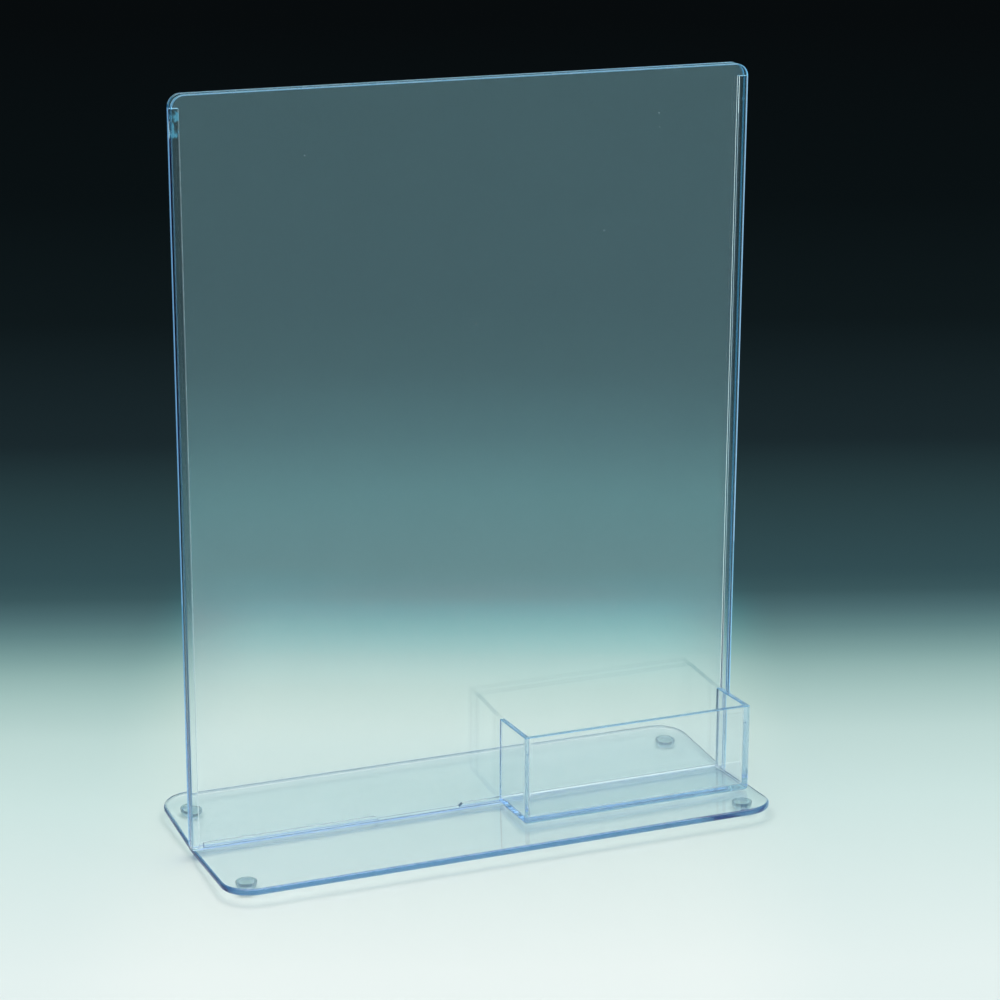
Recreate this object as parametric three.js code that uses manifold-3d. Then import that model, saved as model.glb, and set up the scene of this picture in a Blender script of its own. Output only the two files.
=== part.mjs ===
// Double-sided literature holder in clear moulded plastic, in millimetres, +Z up.
// A slim upright sleeve for one portrait sheet stands on a low base plate with four bumper feet.
// A small open tray for visiting cards is bonded to the lower right of the front panel.
// The origin is under the middle of the sleeve, on the surface that the feet stand on.
// The front faces -Y, and +X is to the viewer's right.

import * as THREE from 'three';
import { mergeVertices } from 'three/addons/utils/BufferGeometryUtils.js';
import Module from 'manifold-3d';

const wasm = await Module();
wasm.setup();

// What the holder is made to hold: one letter sheet, and one stack of visiting cards
const sheetWidth = 215.9;
const sheetHeight = 279.4;
const sheetSideClearance = 0.55;
const sheetTopMargin = 2.2;
const cardWidth = 88.9;
const cardSideClearance = 1.1;

// Sleeve
const sheetSlot = 2.0;
const panelThickness = 2.0;
const panelCornerRadius = 4.8;
const railWidth = 3.0;

// Base plate, with wings that rise from a flat seat under the sleeve
const baseThickness = 2.5;
const baseHalfDepth = 49.0;
const baseSideInset = 0.5;
const baseCornerRadius = 12;
const baseArrisRadius = 1.0;
const wingRise = 2.4;

// Tongue on the base plate, which the sheet stands on
const tongueHeight = 2.0;
const tongueNotchHeight = 0.8;
const tongueNotchLeft = 38.5;
const tongueNotchWidth = 36;
const tongueNotchSlant = 1.4;
const tongueSideClearance = 0.1;
const tongueEndClearance = 1.8;
const tongueRoot = 0.6;

// Card pocket
const pocketWall = 2.0;
const pocketFloor = 2.2;
const pocketHeight = 35.2;
const pocketInnerDepth = 23.6;
const pocketRightMargin = 4.0;
const pocketLowerCornerRadius = 1.2;
const pocketInnerCornerRadius = 0.8;

// Bumper feet
const footRadius = 4.0;
const footFlatRadius = 2.4;
const footHeight = 3.0;
const footInsetX = 10.0;
const footInsetY = 12.5;

// Gap that pieces keep where they meet on the sloping wings
const wingGap = 0.3;

// Facets along a quarter turn of a corner and of a rounded arris
const cornerFacets = 8;
const arrisFacets = 3;
const footFacets = 28;

// Sizes and places worked out from the ones above
const innerWidth = sheetWidth + 2 * sheetSideClearance;
const sleeveWidth = innerWidth + 2 * railWidth;
const sleeveHeight = tongueHeight + sheetHeight + sheetTopMargin;
const railHeight = sleeveHeight - panelCornerRadius;
const seatHalfDepth = sheetSlot / 2 + panelThickness;
const baseWidth = sleeveWidth - 2 * baseSideInset;
const wingSlope = wingRise / (baseHalfDepth - seatHalfDepth);
const footX = baseWidth / 2 - footInsetX;
const footY = baseHalfDepth - footInsetY;
const baseUnderside = footHeight + wingGap - wingSlope * (footY - seatHalfDepth);
const seatTop = baseUnderside + baseThickness;
const pocketWidth = cardWidth + 2 * cardSideClearance + 2 * pocketWall;
const pocketDepth = pocketInnerDepth + pocketWall;
const pocketRight = sleeveWidth / 2 - pocketRightMargin;
const pocketCentreX = pocketRight - pocketWidth / 2;
const pocketFront = -seatHalfDepth - pocketDepth;

// Clear plastic with a faint blue cast, and the softer clear plastic of the feet
const clearPlastic = new THREE.MeshStandardMaterial({
  color: 0xcfe6ec, roughness: 0.06, metalness: 0, transparent: true, opacity: 0.35,
});
const softPlastic = new THREE.MeshStandardMaterial({
  color: 0xd6e4e4, roughness: 0.25, metalness: 0, transparent: true, opacity: 0.6,
});

// A closed three.js geometry as a solid, and a solid as a geometry again
function toSolid(geometry) {
  const bare = geometry.clone();
  bare.deleteAttribute('normal');
  bare.deleteAttribute('uv');
  const merged = mergeVertices(bare, 1e-4);
  return new wasm.Manifold(new wasm.Mesh({
    numProp: 3,
    vertProperties: new Float32Array(merged.attributes.position.array),
    triVerts: new Uint32Array(merged.index.array),
  }));
}

function toGeometry(solid) {
  const mesh = solid.getMesh();
  const geometry = new THREE.BufferGeometry();
  geometry.setAttribute('position', new THREE.BufferAttribute(new Float32Array(mesh.vertProperties), 3));
  geometry.setIndex(new THREE.BufferAttribute(new Uint32Array(mesh.triVerts), 1));
  geometry.computeVertexNormals();
  return geometry;
}

function piece(name, geometry, material) {
  const mesh = new THREE.Mesh(geometry, material);
  mesh.name = name;
  return mesh;
}

// A box between two corners
function boxBetween(low, high) {
  const size = high.map((value, i) => value - low[i]);
  const centre = high.map((value, i) => (value + low[i]) / 2);
  return new THREE.BoxGeometry(...size).translate(...centre);
}

// A rectangle with its own radius at the lower and at the upper corners
function roundedRectangle(left, right, bottom, top, lowerRadius, upperRadius) {
  const shape = new THREE.Shape();
  shape.moveTo(left + lowerRadius, bottom);
  shape.lineTo(right - lowerRadius, bottom);
  if (lowerRadius > 0) shape.absarc(right - lowerRadius, bottom + lowerRadius, lowerRadius, -Math.PI / 2, 0);
  shape.lineTo(right, top - upperRadius);
  if (upperRadius > 0) shape.absarc(right - upperRadius, top - upperRadius, upperRadius, 0, Math.PI / 2);
  shape.lineTo(left + upperRadius, top);
  if (upperRadius > 0) shape.absarc(left + upperRadius, top - upperRadius, upperRadius, Math.PI / 2, Math.PI);
  shape.lineTo(left, bottom + lowerRadius);
  if (lowerRadius > 0) shape.absarc(left + lowerRadius, bottom + lowerRadius, lowerRadius, Math.PI, Math.PI * 1.5);
  return shape;
}

// An outline drawn from the front, as a slab between two depths
function slabFromFront(shape, front, back) {
  const options = { depth: back - front, bevelEnabled: false, curveSegments: cornerFacets };
  return new THREE.ExtrudeGeometry(shape, options).rotateX(Math.PI / 2).translate(0, back, 0);
}

// Leans level geometry along a wing: side is -1 on the front wing and 1 on the rear one
function leanAlongWing(geometry, side) {
  const lean = new THREE.Matrix4().set(
    1, 0, 0, 0,
    0, 1, 0, 0,
    0, side * wingSlope, 1, -wingSlope * seatHalfDepth,
    0, 0, 0, 1,
  );
  return geometry.applyMatrix4(lean);
}

// The level plate has a rounded arris all round. Its wings are the parts past the seat, leaned upwards.
function makeBasePlate() {
  const outline = roundedRectangle(
    -baseWidth / 2, baseWidth / 2, -baseHalfDepth, baseHalfDepth, baseCornerRadius, baseCornerRadius,
  );
  const options = {
    depth: baseThickness - 2 * baseArrisRadius,
    bevelThickness: baseArrisRadius,
    bevelSize: baseArrisRadius,
    bevelOffset: -baseArrisRadius,
    bevelSegments: arrisFacets,
    curveSegments: cornerFacets,
  };
  const levelPlate = () => new THREE.ExtrudeGeometry(outline, options)
    .translate(0, 0, baseUnderside + baseArrisRadius);

  const reach = sleeveWidth;
  const slice = (near, far) => toSolid(boxBetween([-reach, near, -reach], [reach, far, reach]));
  const seat = toSolid(levelPlate()).intersect(slice(-seatHalfDepth, seatHalfDepth));
  const frontWing = toSolid(leanAlongWing(levelPlate(), -1)).intersect(slice(-reach, -seatHalfDepth));
  const rearWing = toSolid(leanAlongWing(levelPlate(), 1)).intersect(slice(seatHalfDepth, reach));
  return seat.add(frontWing).add(rearWing).add(toSolid(makeTongue()));
}

// The tongue stands between the panels. A shallow notch with slanted ends sits left of its middle.
function makeTongue() {
  const end = innerWidth / 2 - tongueEndClearance;
  const half = sheetSlot / 2 - tongueSideClearance;
  const notchLeft = -tongueNotchLeft;
  const notchRight = notchLeft + tongueNotchWidth;
  const profile = new THREE.Shape([
    new THREE.Vector2(-end, -tongueRoot),
    new THREE.Vector2(end, -tongueRoot),
    new THREE.Vector2(end, tongueHeight),
    new THREE.Vector2(notchRight, tongueHeight),
    new THREE.Vector2(notchRight - tongueNotchSlant, tongueNotchHeight),
    new THREE.Vector2(notchLeft + tongueNotchSlant, tongueNotchHeight),
    new THREE.Vector2(notchLeft, tongueHeight),
    new THREE.Vector2(-end, tongueHeight),
  ]);
  return slabFromFront(profile, -half, half).translate(0, 0, seatTop);
}

// Each panel stands on the seat, with its two upper corners rounded
function makePanel(front, back) {
  const outline = roundedRectangle(
    -sleeveWidth / 2, sleeveWidth / 2, seatTop, seatTop + sleeveHeight, 0, panelCornerRadius,
  );
  return slabFromFront(outline, front, back);
}

// A rail closes each side of the slot, up to where the panels' corners start to round
function makeRail(side) {
  const outer = side * sleeveWidth / 2;
  const inner = side * innerWidth / 2;
  return boxBetween(
    [Math.min(outer, inner), -sheetSlot / 2, seatTop],
    [Math.max(outer, inner), sheetSlot / 2, seatTop + railHeight],
  );
}

// The pocket is a tray without a back wall. It is drawn level, then leaned to sit along the front wing.
function makePocket() {
  const half = pocketWidth / 2;
  const bottom = seatTop + wingGap;
  const rim = bottom + pocketHeight;
  const outline = roundedRectangle(-half, half, bottom, rim, pocketLowerCornerRadius, 0);
  const block = toSolid(slabFromFront(outline, pocketFront, -seatHalfDepth));

  const innerHalf = half - pocketWall;
  const openBack = -seatHalfDepth + pocketWall;
  const cavityOutline = roundedRectangle(
    -innerHalf, innerHalf, pocketFront + pocketWall, openBack, pocketInnerCornerRadius, 0,
  );
  const cavityOptions = { depth: 2 * pocketHeight, bevelEnabled: false, curveSegments: arrisFacets };
  const cavity = new THREE.ExtrudeGeometry(cavityOutline, cavityOptions)
    .translate(0, 0, bottom + pocketFloor);
  const tray = toGeometry(block.subtract(toSolid(cavity)));
  return leanAlongWing(tray, -1).translate(pocketCentreX, 0, 0);
}

// A bumper foot is a flattened dome. Its top follows the wing above it, and its bottom stays level.
function makeFoot(sideX, sideY) {
  const domeSteps = 5;
  const profile = [new THREE.Vector2(0, 0)];
  for (let i = 0; i <= domeSteps; i += 1) {
    const turn = (i / domeSteps) * (Math.PI / 2);
    profile.push(new THREE.Vector2(
      footFlatRadius + (footRadius - footFlatRadius) * Math.sin(turn),
      footHeight * (1 - Math.cos(turn)),
    ));
  }
  profile.push(new THREE.Vector2(0, footHeight));
  const dome = new THREE.LatheGeometry(profile, footFacets).rotateX(Math.PI / 2);
  const position = dome.attributes.position;
  for (let i = 0; i < position.count; i += 1) {
    const height = position.getZ(i);
    const rise = sideY * position.getY(i) * wingSlope;
    position.setZ(i, height + rise * (height / footHeight));
  }
  return dome.translate(sideX * footX, sideY * footY, 0);
}

const holder = new THREE.Group();

holder.add(piece('base_plate', toGeometry(makeBasePlate()), clearPlastic));
holder.add(piece('front_panel', makePanel(-seatHalfDepth, -sheetSlot / 2), clearPlastic));
holder.add(piece('rear_panel', makePanel(sheetSlot / 2, seatHalfDepth), clearPlastic));
holder.add(piece('left_side_rail', makeRail(-1), clearPlastic));
holder.add(piece('right_side_rail', makeRail(1), clearPlastic));
holder.add(piece('card_pocket', makePocket(), clearPlastic));

for (const [depthName, sideY] of [['front', -1], ['rear', 1]]) {
  for (const [sideName, sideX] of [['left', -1], ['right', 1]]) {
    holder.add(piece(`foot_${depthName}_${sideName}`, makeFoot(sideX, sideY), softPlastic));
  }
}

export default holder;
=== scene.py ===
# %% [markdown]
# # A clear literature holder
# The real object is an upright sleeve of clear plastic for one letter sheet. It stands on a low
# base plate with four bumper feet, and a small tray for visiting cards is bonded to its front.
# Clear plastic has almost no colour of its own, so three things make its look: the shape of its
# edges, what it bends and mirrors, and the faint blue that builds up along a long way through it.
# This lesson therefore spends most of its cells on closed shapes with true edges.
#
# The first cell loads the finished CAD model as a fixed frame. Nothing in it is moved or resized.

# %% Load the frame
import math

import bpy
import numpy as np
from mathutils import Matrix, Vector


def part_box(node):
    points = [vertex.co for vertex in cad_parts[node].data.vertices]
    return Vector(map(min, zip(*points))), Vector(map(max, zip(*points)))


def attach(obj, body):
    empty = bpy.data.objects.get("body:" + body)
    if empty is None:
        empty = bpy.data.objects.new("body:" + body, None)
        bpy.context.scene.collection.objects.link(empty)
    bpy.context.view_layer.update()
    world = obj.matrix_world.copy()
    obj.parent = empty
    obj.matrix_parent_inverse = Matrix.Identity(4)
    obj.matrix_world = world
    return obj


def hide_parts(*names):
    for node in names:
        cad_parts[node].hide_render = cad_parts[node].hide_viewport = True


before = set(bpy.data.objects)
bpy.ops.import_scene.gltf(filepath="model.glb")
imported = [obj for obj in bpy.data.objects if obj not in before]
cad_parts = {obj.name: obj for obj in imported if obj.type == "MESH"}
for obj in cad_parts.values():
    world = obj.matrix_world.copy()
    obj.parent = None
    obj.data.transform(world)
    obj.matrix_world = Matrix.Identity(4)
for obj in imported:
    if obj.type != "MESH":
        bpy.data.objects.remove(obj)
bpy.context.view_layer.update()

print("nodes in the frame:", sorted(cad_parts))

# %% [markdown]
# Every size that the frame already knows is read from it, so the looks follow the CAD model if
# that changes. The few sizes that a box can't tell, such as radii, are named here. So are two
# things that several pieces need: how patchy a bond is, and how far below the rails' upper ends it
# starts to be patchy.

# %% Sizes
MM = 0.001


def corners(node):
    """The lowest and highest corner of a node's box, as arrays."""
    low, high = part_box(node)
    return np.array(low), np.array(high)


front_low, front_high = corners("front_panel")
rear_low, rear_high = corners("rear_panel")
rail_low, rail_high = corners("right_side_rail")
base_low, base_high = corners("base_plate")
tray_low, tray_high = corners("card_pocket")

seat_top = front_low[2]
sleeve_top = front_high[2]
sleeve_half = front_high[0]
seat_half_depth = rear_high[1]
slot_half = rear_low[1]
panel_thickness = rear_high[1] - rear_low[1]
rail_inner = rail_low[0]
rail_top = rail_high[2]

base_half_width = base_high[0]
base_half_depth = base_high[1]
base_thickness = seat_top - base_low[2]
base_corner = 12 * MM
base_arris = 1.0 * MM
wing_slope = (base_high[2] - seat_top) / (base_half_depth - base_arris - seat_half_depth)

panel_corner = 4.8 * MM
panel_lower_corner = 0.5 * MM
panel_arris = 0.3 * MM

bond_gap = 0.02 * MM
full_bond, patchy_bond, tray_bond = 1.0, 0.55, 0.5
loose_top = rail_top - 14 * MM
touch = 0.1 * MM
beyond = 1.0

print("sleeve", np.round([2 * sleeve_half / MM, (sleeve_top - seat_top) / MM], 1), "mm")
print("wings rise", round(wing_slope * 100, 2), "mm in every 100 mm")
print("bonds are patchy from", round(loose_top / MM, 1), "mm up")

# %% [markdown]
# A material is a graph of nodes. Written one by one, even a short formula takes a page. The small
# class below wraps a socket and gives it the ordinary operators, so that `1 - mask * 0.5` adds the
# Math nodes by itself. The second class makes every other node: it takes the node's type, then its
# settings, then the values or links of its sockets.

# %% Shader maths
class Value:
    """A number that varies over the surface. Operators on it add Math nodes."""

    def __init__(self, graph, socket):
        self.graph, self.socket = graph, socket

    def __add__(self, other):
        return self.graph.maths("ADD", self, other)

    def __sub__(self, other):
        return self.graph.maths("SUBTRACT", self, other)

    def __mul__(self, other):
        return self.graph.maths("MULTIPLY", self, other)

    def __truediv__(self, other):
        return self.graph.maths("DIVIDE", self, other)

    def __pow__(self, other):
        return self.graph.maths("POWER", self, other)

    def __radd__(self, other):
        return self.graph.maths("ADD", other, self)

    def __rsub__(self, other):
        return self.graph.maths("SUBTRACT", other, self)

    def __rmul__(self, other):
        return self.graph.maths("MULTIPLY", other, self)


class Graph:
    """The node graph of one material or world."""

    def __init__(self, owner):
        owner.use_nodes = True
        self.tree = owner.node_tree
        self.tree.nodes.clear()

    def node(self, kind, settings=None, inputs=None, output=0):
        """Adds a node: its settings come first, then each socket's value or link."""
        made = self.tree.nodes.new(kind)
        for name, setting in (settings or {}).items():
            if name == "stops":
                self.set_stops(made.color_ramp, setting)
            else:
                setattr(made, name, setting)
        for name, value in (inputs or {}).items():
            if isinstance(value, Value):
                self.tree.links.new(value.socket, made.inputs[name])
            else:
                made.inputs[name].default_value = value
        return Value(self, made.outputs[output]) if made.outputs else made

    def set_stops(self, ramp, stops):
        """Gives a colour ramp its stops, as pairs of place and colour."""
        while len(ramp.elements) < len(stops):
            ramp.elements.new(0.5)
        for element, (place, colour) in zip(ramp.elements, stops):
            element.position = place
            element.color = (*colour, 1)

    def maths(self, operation, *values, clamp=False):
        """A Math node on one, two or three numbers or links."""
        settings = {"operation": operation, "use_clamp": clamp}
        return self.node("ShaderNodeMath", settings, dict(enumerate(values)))

    def smooth(self, value, low, high):
        """0 below low, 1 above high, and an S-curve between them."""
        settings = {"interpolation_type": "SMOOTHSTEP"}
        values = {"Value": value, "From Min": low, "From Max": high}
        return self.node("ShaderNodeMapRange", settings, values)

    def ramp(self, value, reach, stops):
        """A colour ramp over a length, whose stops are pairs of a place in metres and a colour."""
        shares = [(place / reach, colour) for place, colour in stops]
        return self.node("ShaderNodeValToRGB", {"stops": shares}, {"Fac": value / reach})

    def place(self):
        """The three Object coordinates, in metres."""
        where = self.node("ShaderNodeTexCoord", output="Object")
        split = self.node("ShaderNodeSeparateXYZ", inputs={"Vector": where})
        return where, [Value(self, split.socket.node.outputs[axis]) for axis in "XYZ"]

    def vector(self, x, y, z):
        """Three numbers as one vector."""
        return self.node("ShaderNodeCombineXYZ", inputs={"X": x, "Y": y, "Z": z})

    def face_value(self, name):
        """A number that the mesh stores on each face."""
        return self.node("ShaderNodeAttribute", {"attribute_name": name}, output="Fac")

    def noise(self, vector, scale, detail=2.0, roughness=0.5):
        """Soft noise between 0 and 1, with scale in waves per metre."""
        values = {"Vector": vector, "Scale": scale, "Detail": detail, "Roughness": roughness}
        return self.node("ShaderNodeTexNoise", inputs=values, output="Fac")

    def bump(self, height, strength, distance):
        """A normal that leans as if the surface rose by height."""
        values = {"Strength": strength, "Distance": distance, "Height": height}
        return self.node("ShaderNodeBump", inputs=values)

    def principled(self, **sockets):
        """A Principled shader. An underscore in a name stands for the space in a socket's name."""
        values = {name.replace("_", " "): value for name, value in sockets.items()}
        return self.node("ShaderNodeBsdfPrincipled", inputs=values)

    def mix_shader(self, factor, first, second):
        """The first shader where factor is 0, the second where it is 1."""
        return self.node("ShaderNodeMixShader", inputs={0: factor, 1: first, 2: second})

    def finish(self, surface, absorbed, density):
        """Joins the surface to the output, with a volume that swallows light on its way through."""
        values = {"Color": absorbed, "Density": density}
        depth = self.node("ShaderNodeVolumeAbsorption", inputs=values)
        self.node("ShaderNodeOutputMaterial", inputs={"Surface": surface, "Volume": depth})


print("shader helpers ready")

# %% [markdown]
# All the holder's cut and moulded parts are one material, clear plastic. It could be made by a
# Glass shader, but the Principled shader with full transmission exports better. Five effects make
# it look real:
#
# - Volume Absorption swallows a little red on every millimetre, so that cut edges, where light has
#   run a long way inside the sheet, turn blue while the broad faces stay clear.
# - Where two parts are bonded, the solvent has melted them together and light meets no surface
#   there. Each mesh carries a `bond` value on its faces, and the shader turns transparent there.
#   Between 0 and 1 the bond is patchy, as it is where the solvent didn't reach everywhere.
# - Rims carry an `edge` value, which gives them the fine run marks of a cut and polished edge.
# - Light that is caught inside a sheet leaves at its rims. A `glow` value paints that light on with
#   emission: painted light, bluer where it is faint.
# - Where cement has run out of a seam it dries whitish. A face value mixes that in, with an
#   emission that paints a glow on it. The same value paints a whitish highlight line on the front
#   panel.

# %% Clear plastic
def clear_plastic():
    """Clear plastic with a blue depth, patchy bonds, marked rims, painted rim glow, glowing cement
    and dust.
    """
    material = bpy.data.materials.new("clear_plastic")
    graph = Graph(material)
    where, (x, y, z) = graph.place()
    bond, edge, glow, cement = map(graph.face_value, ("bond", "edge", "glow", "cement"))

    swirl = graph.noise(where, 18, detail=1)
    runs = graph.noise(graph.vector(x * 0.12, y * 1.0, z * 1.0), 900, detail=2)
    ripple = graph.noise(where, 160, detail=2)
    height = swirl * 0.25 + edge * (runs * 0.06 + ripple * 0.12)
    rub = graph.noise(graph.vector(x * 1.0, y * 1.0, z * 0.2), 70, detail=2, roughness=0.7)
    # The emission from glow is painted light on the rims, bluer where it is faint.
    plastic = graph.principled(
        Base_Color=(0.998, 1.0, 1.0, 1),
        Roughness=0.004 + graph.smooth(rub, 0.55, 0.8) * 0.02 + edge * 0.03,
        IOR=1.6,
        Transmission_Weight=1.0,
        Normal=graph.bump(height, 0.5, 0.1 * MM),
        Emission_Color=graph.vector(glow * glow * 0.13, glow * 0.30, glow * 0.46),
        Emission_Strength=1.0,
    )

    grains = {"Vector": where, "Scale": 70.0}
    from_grain = graph.node("ShaderNodeTexVoronoi", inputs=grains, output="Distance")
    strewn = graph.smooth(graph.noise(where, 24, detail=0), 0.58, 0.62)
    speck = graph.maths("LESS_THAN", from_grain, 0.016) * strewn * 0.7
    dust = graph.node("ShaderNodeBsdfDiffuse", inputs={"Color": (0.8, 0.86, 0.86, 1)})
    # Whitish dried cement; its emission is a painted glow.
    glowing_cement = graph.principled(
        Base_Color=(0.85, 0.90, 0.89, 1),
        Roughness=0.5,
        Emission_Color=(0.55, 0.64, 0.62, 1),
        Emission_Strength=1.0,
    )
    open_face = graph.mix_shader(cement, graph.mix_shader(speck, plastic, dust), glowing_cement)

    patches = graph.noise(graph.vector(x * 1.0, y * 0.0, z * 0.6), 330, detail=2, roughness=0.6)
    bonded = graph.maths("MULTIPLY", bond * 1.35 - patches, 16.0, clamp=True)
    clear = graph.node("ShaderNodeBsdfTransparent")
    graph.finish(graph.mix_shader(bonded, open_face, clear), (0.08, 0.50, 0.80, 1), 15.5)
    return material


plastic_material = clear_plastic()
print("material made:", plastic_material.name)

# %% [markdown]
# Every shape below is computed as whole arrays of points, without a loop over them. This cell turns
# such arrays into a Blender mesh. It also stores the four face values that the shaders read, and
# marks which faces are smooth. A broad face stays flat, so that it mirrors as a true plane, and a
# rim is smooth. It prints the volume, which is positive only if all the faces point outwards.

# %% From arrays to a piece
def enclosed_volume(points, quads):
    """The volume inside quads: the sum, over their two triangles, of a . (b x c) / 6."""
    triangles = np.concatenate([quads[:, [0, 1, 2]], quads[:, [0, 2, 3]]])
    a, b, c = (points[triangles[:, i]] for i in range(3))
    return float(np.einsum("ij,ij->i", a, np.cross(b, c)).sum() / 6)


def grid_quads(index):
    """The quads between neighbours of a grid of point numbers."""
    sides = [index[:-1, :-1], index[:-1, 1:], index[1:, 1:], index[1:, :-1]]
    return np.stack(sides, axis=-1).reshape(-1, 4)


def ring_quads(index):
    """The quads between rings of point numbers, one ring in each row, each closed on itself."""
    return grid_quads(np.column_stack([index, index[:, 0]]))


def make_piece(name, points, quads, polygons=(), rim=None, bond=None, glow=None, cement=None,
               material=plastic_material):
    """A closed mesh that stands for the CAD node of the same name and rides on the root body."""
    mesh = bpy.data.meshes.new(name)
    faces = quads.tolist() + [list(p) for p in polygons]
    mesh.from_pydata(points.tolist(), [], faces)
    count = len(faces)
    for label, values in (("edge", rim), ("bond", bond), ("glow", glow), ("cement", cement)):
        values = np.zeros(count) if values is None else np.pad(values, (0, count - len(values)))
        stored = mesh.attributes.new(label, "FLOAT", "FACE")
        stored.data.foreach_set("value", values.astype(np.float32))
        if label == "edge":
            mesh.polygons.foreach_set("use_smooth", values > 0)
    mesh.materials.append(material)
    mesh.update()
    piece = bpy.data.objects.new(f"{name}_fine", mesh)
    bpy.context.scene.collection.objects.link(piece)
    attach(piece, "root")
    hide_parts(name)
    print(f"{name}: {count} faces, {enclosed_volume(points, quads) * 1e6:.2f} cm3")
    return piece


# %% [markdown]
# Both panels, both rails and the base plate are the same kind of form: a flat plate with rounded
# corners and eased edges, an arris. A cube with a Bevel modifier could do it, but then the corner
# radius, the arris and the places where neighbours are bonded would be hard to control. So one
# function computes the plate: a grid of rows for each broad face, and rings that roll round the rim
# from one face to the other.

# %% A plate with rounded corners and eased edges
def plate(half_width, low, high, thickness, lower_radius, upper_radius, arris, columns, rows,
          corner_steps=16, arris_steps=6, band_cuts=()):
    """Points (a, b, c), quads and rim marks of a plate that lies in the a-b plane.

    A broad face is a grid. Row j lies at height b[j] and is 2 * half[j] wide, where a corner of
    radius r gives b = low + r(1 - cos t) and half = half_width - r(1 - sin t), for t from 0 to 90
    degrees. The rim is the face's outline moved out along its normal by arris * sin t and down by
    arris * (1 - cos t), then the same the other way up. The rim mark is 0 on a broad face, 1 on the
    arris and 0.7 on the flat band between, which band_cuts divides at those depths from each face.
    """
    inner_half = half_width - arris
    low, high = low + arris, high - arris
    least_radius = 0.02 * MM
    lower, upper = (max(r - arris, least_radius) for r in (lower_radius, upper_radius))
    turn = np.linspace(0, np.pi / 2, corner_steps + 1)
    back = turn[::-1]
    rows = np.sort([row for row in rows if low + lower < row < high - upper])
    b = np.concatenate([low + lower * (1 - np.cos(turn)), rows, high - upper * (1 - np.cos(back))])
    half = np.concatenate([
        inner_half - lower * (1 - np.sin(turn)), np.full(len(rows), inner_half),
        inner_half - upper * (1 - np.sin(back)),
    ])
    outward_a = np.concatenate([np.sin(turn), np.ones(len(rows)), np.sin(back)])
    outward_b = np.concatenate([-np.cos(turn), np.zeros(len(rows)), np.cos(back)])

    inside = [c for c in columns if abs(c) < inner_half - touch]
    share = np.sort(np.concatenate([[-1, 1], np.array(inside) / inner_half]))
    grid_a = half[:, None] * share[None, :]
    grid_b = np.repeat(b[:, None], len(share), axis=1)
    tall, wide = grid_a.shape
    index = np.arange(tall * wide).reshape(tall, wide)
    flat = np.stack([grid_a.ravel(), grid_b.ravel()], axis=1)

    loop = np.concatenate([index[0], index[1:, -1], index[-1, -2::-1], index[-2:0:-1, 0]])
    ones, zeros = np.ones(wide), np.zeros(wide)
    normal_a = np.concatenate([zeros, outward_a[1:], zeros[1:], -outward_a[-2:0:-1]])
    normal_b = np.concatenate([-ones, outward_b[1:], ones[1:], outward_b[-2:0:-1]])
    normal = np.stack([normal_a, normal_b], axis=1)

    roll = np.linspace(0, np.pi / 2, arris_steps + 1)
    drop = np.concatenate([arris * (1 - np.cos(roll)), band_cuts])
    height = np.concatenate([thickness / 2 - drop, drop[::-1] - thickness / 2])
    out = np.concatenate([np.sin(roll), np.ones(len(band_cuts))])
    move_out = arris * np.concatenate([out, out[::-1]])
    rings = [np.column_stack([flat[loop] + normal * o, np.full(len(loop), h)])
             for o, h in zip(move_out[1:-1], height[1:-1])]

    top = np.column_stack([flat, np.full(len(flat), thickness / 2)])
    bottom = np.column_stack([flat, np.full(len(flat), -thickness / 2)])
    points = np.concatenate([top, bottom, *rings])

    face = grid_quads(index)
    size = len(flat)
    rolled = 2 * size + np.arange(len(rings) * len(loop)).reshape(len(rings), -1)
    around = ring_quads(np.concatenate([[loop], rolled, [loop + size]]))[:, [1, 0, 3, 2]]
    quads = np.concatenate([face, face[:, ::-1] + size, around])
    bands = np.full(len(height) - 1, 0.7)
    bands[:arris_steps] = bands[-arris_steps:] = 1.0
    rim = np.concatenate([np.zeros(2 * len(face)), np.repeat(bands, len(loop))])
    return points, quads, rim


def upright(points, centre_y):
    """Stands a plate up: a becomes x, b becomes z, and c becomes -y about the given depth."""
    return np.stack([points[:, 0], centre_y - points[:, 2], points[:, 1]], axis=1)


def in_plane(points, quads, x_range, depth, z_range):
    """True for each face whose middle lies in a plane at a depth y and within two ranges."""
    low = np.array([x_range[0], depth - touch, z_range[0]])
    high = np.array([x_range[1], depth + touch, z_range[1]])
    middle = points[quads].mean(axis=1)
    return np.all((middle > low) & (middle < high), axis=1)


print("plate helper ready")

# %% [markdown]
# The card tray's walls are two millimetres thick. Its sizes are needed already for the front panel,
# because the panel's mesh must have edges exactly where the tray is bonded to it. A thin whitish
# line on the panel, just above the tray's floor, is a painted highlight, drawn as a bead of cement.

# %% Sizes of the card tray
tray_wall = 2.0 * MM
tray_floor = 2.2 * MM
tray_bottom = seat_top + 0.3 * MM
tray_floor_top = tray_bottom + tray_floor
tray_back_rim = tray_bottom + 35.2 * MM
tray_left, tray_right = tray_low[0], tray_high[0]
bead_height = 0.6 * MM
print("tray", round((tray_right - tray_left) / MM, 1), "mm wide")

# %% [markdown]
# The two panels are letter-size sheets with their upper corners rounded. The rails sit between
# them at both sides, and the solvent bond there is full except near the top, where it gets patchy.
# Each could be cut from a cube, but the plate function puts grid lines exactly where a neighbour
# begins, so every face is either wholly bonded or wholly free. A few spare lines only keep the
# long faces from getting too slender.

# %% Panels
spare_columns, spare_rows = [-0.05, 0.0], [0.1, 0.2]
sliver = 0.05 * MM
foot_cement_and_glow, painted_bead_highlight = 0.2, 0.5


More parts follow.
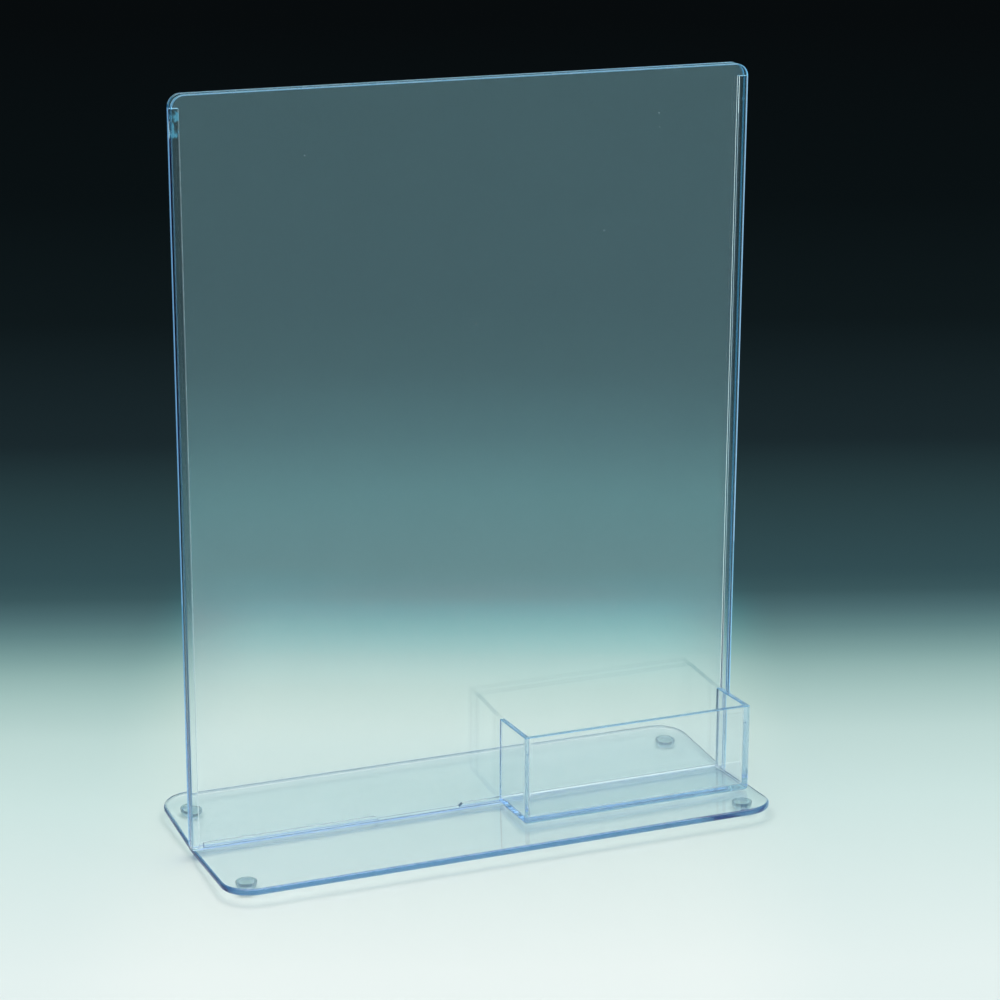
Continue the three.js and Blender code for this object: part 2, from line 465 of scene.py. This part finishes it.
def panel(name, centre_y, bond_side, with_tray, glows):
    """One panel. bond_side is 1 if the rails are behind it and -1 if they are in front of it.

    glows tells how bright the painted rim glow is at the left, right, upper and lower rim.
    """
    left_wall, right_wall = (tray_left, tray_left + tray_wall), (tray_right - tray_wall, tray_right)
    columns = [-rail_inner, rail_inner, *spare_columns]
    columns += [*left_wall, *right_wall] if with_tray else []
    bead_top = tray_floor_top + bead_height
    rows = [tray_bottom, tray_floor_top, bead_top, tray_back_rim, *spare_rows, loose_top,
            rail_top - sliver]
    low = seat_top + 2 * bond_gap
    points, quads, rim = plate(sleeve_half, low, sleeve_top, panel_thickness - bond_gap,
                               panel_lower_corner, panel_corner, panel_arris, columns, rows)
    points = upright(points, centre_y)

    back = centre_y + bond_side * panel_thickness / 2
    bond, cement = np.zeros(len(quads)), np.zeros(len(quads))
    for side in (-1, 1):
        strip = sorted((side * rail_inner, side * beyond))
        bond[in_plane(points, quads, strip, back, (0, loose_top))] = full_bond
        bond[in_plane(points, quads, strip, back, (loose_top, rail_top))] = patchy_bond
    if with_tray:
        front = centre_y - panel_thickness / 2
        for x_range, z_range in (
            (left_wall, (tray_bottom, tray_back_rim)),
            (right_wall, (tray_bottom, tray_back_rim)),
            ((tray_left, tray_right), (tray_bottom, tray_floor_top)),
        ):
            bond[in_plane(points, quads, x_range, front, z_range)] = tray_bond
        # A painted highlight: a whitish, glowing line just above the tray floor.
        between = (left_wall[1], right_wall[0])
        cement[in_plane(points, quads, between, front, (tray_floor_top, bead_top))] = painted_bead_highlight

    across, _, height = points[quads].mean(axis=1).T
    at_foot = height < seat_top + panel_lower_corner
    at_top = height > sleeve_top - panel_corner
    # Whitish cement at the lower rims, which the cement's emission paints with a glow.
    cement[at_foot & (rim > 0)] = foot_cement_and_glow
    # Painted light: the rim glow, dimmer towards the bottom except at the lower rim.
    left_glow, right_glow, top_glow, foot_glow = glows
    sides = [at_foot, at_top, across < 0]
    glow = np.select(sides, [foot_glow, top_glow, left_glow], right_glow) * rim
    glow *= np.where(at_foot, 1.0, np.interp(height, [0.0, 0.12], [0.3, 1.0]))
    return make_piece(name, points, quads, rim=rim, bond=bond, glow=glow, cement=cement)


panel("front_panel", (front_low[1] + front_high[1]) / 2, 1, True, (0.05, 1.3, 0.8, 0.12))
panel("rear_panel", (rear_low[1] + rear_high[1]) / 2, -1, False, (1.3, 0.2, 0.3, 0.1))

# %% [markdown]
# A rail is a plain square bar, closed in between the panels. Its broad faces are bonded. Where the
# bond gets patchy, near the top, light is painted on the loose spots as a glow, and on the rail's
# upper end too. Cement has run out along both edges of the face that looks into the slot, and dried
# there in two fine whitish lines, which the cement's emission paints with a glow. They could be two
# thin rods, but a strip of that face at each edge is enough.

# %% Rails
rail_corner, rail_arris = 0.06 * MM, 0.03 * MM
line_width = 0.4 * MM
# Painted light: glow on the rail's upper end and on its loosely bonded faces.
end_glow, loose_glow = 0.7, 0.3


def rail(name, loose_bond, lines, loose_lines):
    """A bar with crisp edges between the panels, with a line of cement at both slot edges.

    lines tells how much cement there is in the rear and front line, and loose_lines how much there
    is in them near the top, where the bond is patchy.
    """
    low, high = corners(name)
    half = (high[0] - low[0]) / 2
    thickness = high[1] - low[1] - bond_gap
    points, quads, rim = plate(half, low[2] + 2 * bond_gap, high[2], thickness,
                               rail_corner, rail_corner, rail_arris,
                               [0.0], [*spare_rows, loose_top],
                               corner_steps=3, arris_steps=2, band_cuts=[line_width])
    points = upright(points, 0.0)
    points[:, 0] += (low[0] + high[0]) / 2
    across, depth, height = points[quads].mean(axis=1).T
    broad, loose = rim == 0, height > loose_top
    slot_face = min(low[0], high[0], key=abs)
    at_slot = (np.abs(across - slot_face) < 0.01 * MM) & (rim > 0)
    at_line = at_slot & (np.abs(depth) > thickness / 2 - line_width)
    rear = np.where(loose, loose_lines[0], lines[0])
    front = np.where(loose, loose_lines[1], lines[1])
    return make_piece(
        name, points, quads, rim=rim,
        bond=np.where(broad, np.where(loose, loose_bond, full_bond), 0.0),
        glow=end_glow * (height > high[2] - sliver) + loose_glow * (broad & loose),
        cement=at_line * np.where(depth > 0, rear, front),
    )


rail("left_side_rail", 0.42, (0.3, 1.0), (0.3, 0.8))
rail("right_side_rail", patchy_bond, (0.8, 0.4), (0.7, 1.0))

# %% [markdown]
# The base plate is drawn level and then bent: under the sleeve it is a flat seat, and from there
# its two wings rise a little outwards, so only the feet touch the table. A low tongue stands on the
# seat between the panels, and the sheet rests on it. It could be a box joined on with a Boolean,
# but lifting a few rows of the same grid leaves one clean skin. Each side of the tongue is two grid
# rows that lie almost on top of each other, one at seat height and one at tongue height.

# %% Base plate with its tongue
tongue_half = slot_half - 0.1 * MM
tongue_end = rail_inner - 1.8 * MM
tongue_top = 2.0 * MM
notch_top = 0.8 * MM
notch_left, notch_right = -38.5 * MM, -2.5 * MM
notch_slant = 1.4 * MM
wall_run = 0.02 * MM
spare_depths = (20 * MM, 35 * MM)


def wing_lift(y):
    """How far the plate has risen at depth y: nothing on the seat, then a straight slope."""
    return wing_slope * np.maximum(np.abs(y) - seat_half_depth, 0)


def tongue_height(x):
    """The tongue's top along x: steep ends, a level top and the notch with its slanted sides."""
    stations = [-tongue_end, -tongue_end + wall_run, notch_left, notch_left + notch_slant,
                notch_right - notch_slant, notch_right, tongue_end - wall_run, tongue_end]
    heights = [0, tongue_top, tongue_top, notch_top, notch_top, tongue_top, tongue_top, 0]
    return np.interp(x, stations, heights, left=0, right=0), stations


def base_plate():
    """The bent plate. The tongue is added to the points of its upper face only."""
    stations = tongue_height(0.0)[1]
    depths = (seat_half_depth, tongue_half, tongue_half - wall_run, *spare_depths)
    rows = [side * depth for side in (-1, 1) for depth in depths]
    points, quads, rim = plate(base_half_width, -base_half_depth, base_half_depth, base_thickness,
                               base_corner, base_corner, base_arris, stations, rows,
                               corner_steps=32, arris_steps=8)
    x, y, z = points.T
    on_top = z > base_thickness / 2 - 1e-9
    raised = tongue_height(x)[0] * (np.abs(y) < tongue_half - wall_run / 2) * on_top
    points = np.stack([x, y, z + seat_top - base_thickness / 2 + wing_lift(y) + raised], axis=1)
    return make_piece("base_plate", points, quads, rim=rim)


base_plate()

# %% [markdown]
# The card tray has a floor and three walls, and leans with the wing that it stands on. It could be
# a box with a Boolean cut, but a lofted shell gives cleaner rounded edges: rings that all follow a
# U in plan, which start under the floor, go round the lower edge, up outside, over the rim, down
# inside and end on the floor. The open ends of the rings are closed by two flat caps, which face
# the panel and are bonded to it in patches.

# %% Card tray
tray_front = tray_low[1]
tray_edge = 0.25 * MM
tray_lower_radius, tray_lower_inset = 1.2 * MM, 0.5 * MM
tray_fillet = 0.8 * MM
outer_corner, inner_corner, tight_corner = 0.5 * MM, 0.9 * MM, 0.3 * MM
# Painted light: a glow on the tray's upper rounded rims.
rim_glow = 0.25


def u_path(half, front, back, radius, steps=8):
    """A U in plan: the left side, a quarter circle, the front, a quarter circle, the right side."""
    turn = np.linspace(0, np.pi / 2, steps + 1)
    side = np.linspace(back, front + radius, 5)[:-1]
    along = np.linspace(radius - half, half - radius, 7)[1:-1]
    arc_x, arc_y = radius * (1 - np.cos(turn)), radius * (1 - np.sin(turn)) + front
    left, right = np.full(len(side), -half), np.full(len(side), half)
    level = np.full(len(along), front)
    x = np.concatenate([left, arc_x - half, along, half - arc_x[::-1], right])
    y = np.concatenate([side, arc_y, level, arc_y[::-1], side[::-1]])
    return np.stack([x, y], axis=1)


def tray_rings():
    """Pairs of a plan and a height, where each plan is a blend of two U paths.

    Round the lower edge the blend is 1 - sin t and the height r(1 - cos t). Over the rim the blend
    is a share e(1 - cos t) of the wall and the height rises by e sin t, then falls the same way.
    Along the floor's fillet the blend is 1 - cos t and the height f(1 - sin t).
    """
    half = (tray_right - tray_left) / 2
    back = -seat_half_depth - bond_gap
    outer = u_path(half, tray_front, back, outer_corner)
    inner = u_path(half - tray_wall, tray_front + tray_wall, back, inner_corner)
    under = u_path(half - tray_lower_radius, tray_front + tray_lower_inset, back, tight_corner)
    floor = u_path(half - tray_wall - tray_fillet, tray_front + tray_wall + tray_fillet, back,
                   tight_corner)
    turn = np.linspace(0, np.pi / 2, 7)
    eased = tray_edge / tray_wall * (1 - np.cos(turn))
    top = tray_back_rim - tray_edge + tray_edge * np.sin(turn)
    rings = [(outer + (under - outer) * (1 - np.sin(t)),
              tray_bottom + tray_lower_radius * (1 - np.cos(t))) for t in turn]
    rings += [(outer + (inner - outer) * share, z) for share, z in zip(eased, top)]
    rings += [(inner + (outer - inner) * share, z) for share, z in zip(eased[::-1], top[::-1])]
    rings += [(inner + (floor - inner) * (1 - np.cos(t)),
               tray_floor_top + tray_fillet * (1 - np.sin(t))) for t in turn]
    return rings, back


def card_tray():
    """The rings, two fans of triangles that close the floor, and two end caps."""
    rings, back = tray_rings()
    loops = np.stack([np.column_stack([plan, np.full(len(plan), z)]) for plan, z in rings])
    count, length, _ = loops.shape
    poles = np.array([[0, back, tray_bottom], [0, back, tray_floor_top]])
    points = np.concatenate([loops.reshape(-1, 3), poles])
    points[:, 0] += (tray_left + tray_right) / 2
    points[:, 2] += wing_lift(points[:, 1])

    index = np.arange(count * length).reshape(count, length)
    quads = grid_quads(index)
    under_pole, floor_pole = count * length, count * length + 1
    under, floor = index[0], index[-1]
    fan_under = np.column_stack([under[1:], under[:-1], np.full(length - 1, under_pole)])
    fan_floor = np.column_stack([floor[:-1], floor[1:], np.full(length - 1, floor_pole)])
    left_cap = [under_pole, *index[:, 0], floor_pole]
    right_cap = [floor_pole, *index[::-1, -1], under_pole]
    polygons = [*fan_under, *fan_floor, left_cap, right_cap]

    heights = np.array([z for _, z in rings])
    steps = np.abs(np.diff(heights))
    rounded = (steps > 0) & (steps < tray_lower_radius + touch)
    upper = heights[:-1] > tray_back_rim - 2 * tray_edge
    bond = np.zeros(len(quads) + len(polygons))
    bond[-2:] = tray_bond
    return make_piece("card_pocket", points, quads, polygons, bond=bond,
                      rim=np.repeat(rounded, length - 1).astype(float),
                      glow=rim_glow * np.repeat(rounded & upper, length - 1))


card_tray()

# %% [markdown]
# A bumper foot is a small soft dome, stuck on with its broad side up. It could be a squashed
# sphere, but a surface of revolution gives its flat sole: a profile of radius and height, turned
# round an axis. Its broad side follows the wing above it. Seen through the plate, the upper part of
# the near wall shows as a dark blue crescent, and the spot that stands on the table shows pale. The
# feet are too small to mirror that from the floor, so both are painted on by face values: painted
# shade on the wall and painted light on the sole.

# %% Soft plastic and bumper feet
def soft_plastic():
    """Clear soft plastic, slightly satin, with painted shade where edge says so and painted light
    on the sole.
    """
    material = bpy.data.materials.new("soft_clear")
    graph = Graph(material)
    where, _ = graph.place()
    shade, sole = map(graph.face_value, ("edge", "cement"))
    pebble = graph.noise(where, 1500, detail=2)
    plastic = graph.principled(
        Base_Color=(0.98, 0.99, 1.0, 1),
        Roughness=0.01 + pebble * 0.03,
        IOR=1.48,
        Transmission_Weight=1.0,
        Normal=graph.bump(pebble, 0.3, 0.05 * MM),
    )
    # Painted light: a pale, self-lit sole that stands for the light seen through the foot.
    painted_pale_sole = graph.principled(
        Base_Color=(0.86, 0.93, 0.94, 1),
        Roughness=0.5,
        Emission_Color=(0.50, 0.60, 0.60, 1),
        Emission_Strength=0.5,
    )
    # Painted shade: a dark blue satin that stands for the crescent on the near wall.
    wall = graph.principled(Base_Color=(0.01, 0.06, 0.16, 1), Roughness=0.3)
    surface = graph.mix_shader(sole, graph.mix_shader(shade * 0.95, plastic, wall), painted_pale_sole)
    graph.finish(surface, (0.20, 0.50, 0.80, 1), 25.0)
    return material


soft_material = soft_plastic()
near_side = math.radians(248)
sole_radius, foot_ease = 2.4 * MM, 0.25 * MM
painted_sole_light = 0.85


def foot(name, steps=12, sides=48):
    """A dome with an eased upper edge, set on its sole.

    With t from 0 to 90 degrees, radius = sole + (full - sole) sin t and height = h (1 - cos t).
    The upper edge is eased by a quarter circle.
    """
    low, high = corners(name)
    centre = (low + high) / 2
    full = (high[0] - low[0]) / 2
    lean = wing_slope * np.sign(centre[1])
    tall = high[2] - abs(lean) * full
    turn = np.linspace(0, np.pi / 2, steps + 1)
    top = np.linspace(0, np.pi / 2, 5)[1:]
    dome = sole_radius + (full - sole_radius) * np.sin(turn)
    radius = np.concatenate([dome, full - foot_ease * (1 - np.cos(top))])
    wall = tall - foot_ease
    height = np.concatenate([wall * (1 - np.cos(turn)), wall + foot_ease * np.sin(top)])
    around = np.arange(sides) * 2 * np.pi / sides
    x = radius[:, None] * np.cos(around)
    y = radius[:, None] * np.sin(around)
    z = height[:, None] + lean * y * height[:, None] / tall
    points = np.stack([x + centre[0], y + centre[1], z], axis=-1).reshape(-1, 3)
    index = np.arange(len(radius) * sides).reshape(-1, sides)
    quads = ring_quads(index)
    caps = [index[0, ::-1], index[-1]]

    # Painted light: the sole, pale where it stands on the table.
    sole = np.zeros(len(quads) + len(caps))
    sole[len(quads)] = painted_sole_light
    # Painted shade on the near wall, strongest on its upper part and on the near side.
    facing = np.clip(np.cos(around + np.pi / sides - near_side), 0.03, 1)
    level = np.interp((height[1:] + height[:-1]) / 2, [0.55 * tall, 0.7 * tall], [0.3, 1.0])
    shade = (level[:, None] * facing[None, :]).ravel()
    return make_piece(name, points, quads, caps, rim=shade, cement=sole,
                      material=soft_material)


for depth_name in ("front", "rear"):
    for side_name in ("left", "right"):
        foot(f"foot_{depth_name}_{side_name}")

# %% [markdown]
# The floor's colour is painted light: a pool of light, pale under the object and deepening to a
# dark teal behind it. Clear plastic shows whatever stands behind and in front of it, so the floor
# matters as much as the material. It could be an image, but three colour ramps over plain distances
# do. The first runs backwards and is what the picture shows. The second runs outwards in front,
# where only the panels mirror it. The third is a painted pool of light in the middle.

# %% Camera direction and floor
heading = math.radians(22.18)
pitch = math.radians(16.96)
roll = math.radians(0.264)


def painted_light_floor():
    """Painted light: pale under the object, dark teal far behind, bluer beyond the picture's lower
    edge.

    With s the distance along the camera's heading and l the distance across it, the colour is a
    ramp over s - 0.055 l, times a ramp over sqrt(min(s, 0)^2 + l^2) except far behind, times a ramp
    over s in the middle.
    """
    material = bpy.data.materials.new("painted_light_floor")
    graph = Graph(material)
    _, (x, y, _) = graph.place()
    along = x * math.sin(heading) + y * math.cos(heading)
    across = x * math.cos(heading) - y * math.sin(heading)
    ahead = graph.maths("MINIMUM", along, 0.0)
    apron = graph.maths("SQRT", ahead ** 2.0 + across ** 2.0)
    in_front = 1 - graph.smooth(along, 0.15, 0.35)
    tilt, start = 0.055, 0.345
    backwards = graph.ramp(along - across * tilt + start, 2.7, [
        (0.00, (0.73, 0.80, 0.785)),
        (0.21, (0.70, 0.78, 0.755)),
        (0.36, (0.548, 0.684, 0.652)),
        (0.43, (0.458, 0.602, 0.568)),
        (0.478, (0.336, 0.485, 0.455)),
        (0.503, (0.265, 0.407, 0.385)),
        (0.529, (0.180, 0.304, 0.294)),
        (0.556, (0.110, 0.208, 0.211)),
        (0.584, (0.066, 0.133, 0.143)),
        (0.612, (0.038, 0.083, 0.092)),
        (0.64, (0.029, 0.066, 0.075)),
        (0.77, (0.019, 0.042, 0.047)),
        (0.88, (0.0095, 0.019, 0.0225)),
        (1.18, (0.0042, 0.0082, 0.0095)),
        (1.60, (0.0026, 0.0048, 0.0056)),
        (2.70, (0.002, 0.003, 0.0035)),
    ])
    outwards = graph.ramp(apron, 5.0, [
        (0.26, (1.0, 1.0, 1.0)),
        (0.30, (0.78, 1.2, 1.24)),
        (0.44, (0.68, 1.22, 1.28)),
        (0.56, (0.53, 0.95, 1.02)),
        (0.70, (0.42, 0.72, 0.79)),
        (0.90, (0.39, 0.66, 0.74)),
        (2.40, (0.39, 0.66, 0.74)),
        (4.60, (0.10, 0.17, 0.20)),
    ])
    middle = 1 - graph.smooth(graph.maths("ABSOLUTE", across + 0.006), 0.085, 0.15)
    # Painted light: a brighter pool in the middle.
    pool = graph.ramp(along + 0.35, 1.2, [
        (0.00, (1.06, 1.04, 1.04)),
        (0.30, (1.08, 1.04, 1.03)),
        (0.37, (1.08, 1.03, 1.01)),
        (0.42, (1.20, 1.12, 1.10)),
        (0.454, (1.33, 1.20, 1.16)),
        (0.49, (1.42, 1.28, 1.23)),
        (0.529, (1.58, 1.52, 1.47)),
        (0.57, (1.36, 1.84, 1.78)),
        (0.60, (1.0, 1.95, 1.95)),
        (0.66, (1.0, 1.0, 1.0)),
    ])
    times = {"data_type": "RGBA", "blend_type": "MULTIPLY"}
    apart = graph.node("ShaderNodeMix", times, {0: in_front, 6: backwards, 7: outwards}, output=2)
    shade = graph.node("ShaderNodeMix", times, {0: middle, 6: apart, 7: pool}, output=2)
    painted_floor = graph.node("ShaderNodeBsdfDiffuse", inputs={"Color": shade})
    graph.node("ShaderNodeOutputMaterial", inputs={"Surface": painted_floor})
    return material


def floor_disc(radius=9.0, rings=24, sides=96):
    """A flat disc: rings of points whose radius grows with the square of their number."""
    spread = radius * (np.arange(1, rings + 1) / rings) ** 2
    around = np.arange(sides) * 2 * np.pi / sides
    x, y = spread[:, None] * np.cos(around), spread[:, None] * np.sin(around)
    points = np.stack([x, y, np.zeros_like(x)], axis=-1).reshape(-1, 3)
    index = np.arange(rings * sides).reshape(rings, sides)
    quads = ring_quads(index)[:, [0, 3, 2, 1]]
    mesh = bpy.data.meshes.new("floor")
    mesh.from_pydata(points.tolist(), [], quads.tolist() + [index[0].tolist()])
    mesh.materials.append(painted_light_floor())
    floor = bpy.data.objects.new("floor", mesh)
    bpy.context.scene.collection.objects.link(floor)
    return floor


floor_disc()
print("floor laid")

# %% [markdown]
# The light is a large soft dome: one bright patch overhead, like a studio's ceiling lamp, and dim
# teal walls, a little lighter towards the back, where they draw the upper edges. It could be one
# big area lamp, but clear plastic blocks the short cut that the renderer uses to find a lamp, and
# the floor under the base plate would stay too dark. A world is found from everywhere. Its colour
# is made of smooth steps over the direction that a ray leaves in.

# %% Light and world
world = bpy.data.worlds.new("soft_dome")
bpy.context.scene.world = world
dome = Graph(world)
direction = dome.node("ShaderNodeTexCoord", output="Generated")
split = dome.node("ShaderNodeSeparateXYZ", inputs={"Vector": direction})
x, y, z = [Value(dome, split.socket.node.outputs[axis]) for axis in "XYZ"]
towards_back = dome.smooth(x * math.sin(heading) + y * math.cos(heading), 0.3, 0.9)
overhead = dome.smooth(z, 0.72, 0.92)
sides = dome.node("ShaderNodeMix", {"data_type": "RGBA"}, {
    0: towards_back, 6: (0.30, 0.40, 0.46, 1), 7: (0.45, 0.68, 0.68, 1),
}, output=2)
sky = dome.node("ShaderNodeMix", {"data_type": "RGBA"}, {
    0: overhead, 6: sides, 7: (2.75, 2.55, 2.5, 1),
}, output=2)
background = dome.node("ShaderNodeBackground", inputs={"Color": sky})
dome.node("ShaderNodeOutputWorld", inputs={"Surface": background})
print("dome made")

# %% [markdown]
# The camera stands where the photographer stood. Its heading, pitch, roll and distance come from a
# fit of the model's edges to the photograph. A camera looks along its own -Z, so its rotation is
# built from three axes: right, up and backwards.

# %% Camera
aim = np.array([13.2, 0.0, 127.1]) * MM
distance = 1078.7 * MM
focal_pixels, frame_pixels, sensor_width = 2850.0, 1000.0, 36.0

level = math.cos(pitch)
forward = np.array([math.sin(heading) * level, math.cos(heading) * level, -math.sin(pitch)])
level_right = np.array([math.cos(heading), -math.sin(heading), 0.0])
level_up = np.cross(level_right, forward)
right = math.cos(roll) * level_right + math.sin(roll) * level_up
up = np.cross(right, forward)

lens = bpy.data.cameras.new("photo_camera")
lens.sensor_width = sensor_width
lens.lens = focal_pixels / frame_pixels * sensor_width
camera = bpy.data.objects.new("photo_camera", lens)
axes = np.column_stack([right, up, -forward, aim - forward * distance])
camera.matrix_world = Matrix([*axes.tolist(), [0, 0, 0, 1]])
bpy.context.scene.collection.objects.link(camera)
bpy.context.scene.camera = camera
print("camera at", np.round(np.array(camera.matrix_world.translation), 3))

# %% [markdown]
# Light passes many clear surfaces before it reaches the floor, and inside a sheet it is mirrored
# to and fro many times before it leaves at a rim. So the renderer is allowed far more bounces than
# usual. Filter Glossy is off, because it dims the light that reaches the floor through the plate.
# The view transform is Standard, which shows colours as they are written.

# %% View settings
scene = bpy.context.scene
scene.view_settings.view_transform = "Standard"
bounces = 128
scene.cycles.max_bounces = bounces
scene.cycles.transmission_bounces = bounces
scene.cycles.glossy_bounces = bounces
scene.cycles.transparent_max_bounces = bounces
scene.cycles.blur_glossy = 0.0
